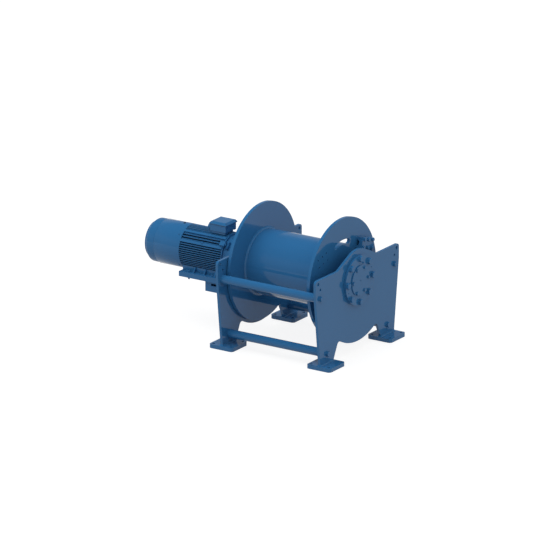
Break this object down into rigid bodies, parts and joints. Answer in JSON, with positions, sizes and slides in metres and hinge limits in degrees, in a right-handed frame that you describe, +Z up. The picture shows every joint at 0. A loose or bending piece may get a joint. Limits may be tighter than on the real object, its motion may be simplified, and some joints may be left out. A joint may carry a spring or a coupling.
{
  "type": "mooring winch",
  "caption": "Electric mooring winch: flanged rope drum between two side plates on square feet, with a coaxial motor overhung on one end and a bolted bearing at the other.",
  "frame": {"origin": "on the floor plane under the feet, midway between the four foot plates", "axes": "+X along the drum axis towards the bearing end, +Y towards the back, +Z up"},
  "size_m": [1.898, 1.126, 1.012],
  "materials": {
    "frame_paint": "glossy marine paint over steel",
    "drum_paint": "glossy marine paint over steel",
    "motor_paint": "glossy marine paint over steel"
  },
  "bodies": {
    "frame": {"bearing_cover": "frame_paint", "bearing_housing": "frame_paint", "cable_entry_plate": "motor_paint", "fan_cover": "motor_paint", "foot_plate_bearing_end_back": "frame_paint", "foot_plate_bearing_end_front": "frame_paint", "foot_plate_motor_end_back": "frame_paint", "foot_plate_motor_end_front": "frame_paint", "gearbox": "frame_paint", "motor_adapter": "frame_paint", "motor_console": "frame_paint", "motor_end_shield": "motor_paint", "motor_feet": "motor_paint", "side_plate_bearing_end": "frame_paint", "side_plate_motor_end": "frame_paint", "stator_housing": "motor_paint", "terminal_box": "motor_paint", "terminal_box_lid": "motor_paint", "terminal_box_plinth": "motor_paint", "tie_rod_lower_back": "frame_paint", "tie_rod_lower_front": "frame_paint", "tie_rod_upper_back": "frame_paint", "tie_rod_upper_front": "frame_paint"},
    "drum": {"drum_barrel": "drum_paint", "drum_flange_bearing_end": "drum_paint", "drum_flange_gear_end": "drum_paint", "drum_hub": "drum_paint", "drum_journal": "drum_paint", "drum_web": "drum_paint", "rope_clamp": "drum_paint"}
  },
  "joints": [
    {"name": "drum_spin", "type": "hinge", "parent": "frame", "child": "drum", "pos_m": [0, 0, 0.562], "axis": [1, 0, 0], "continuous": true}
  ]
}
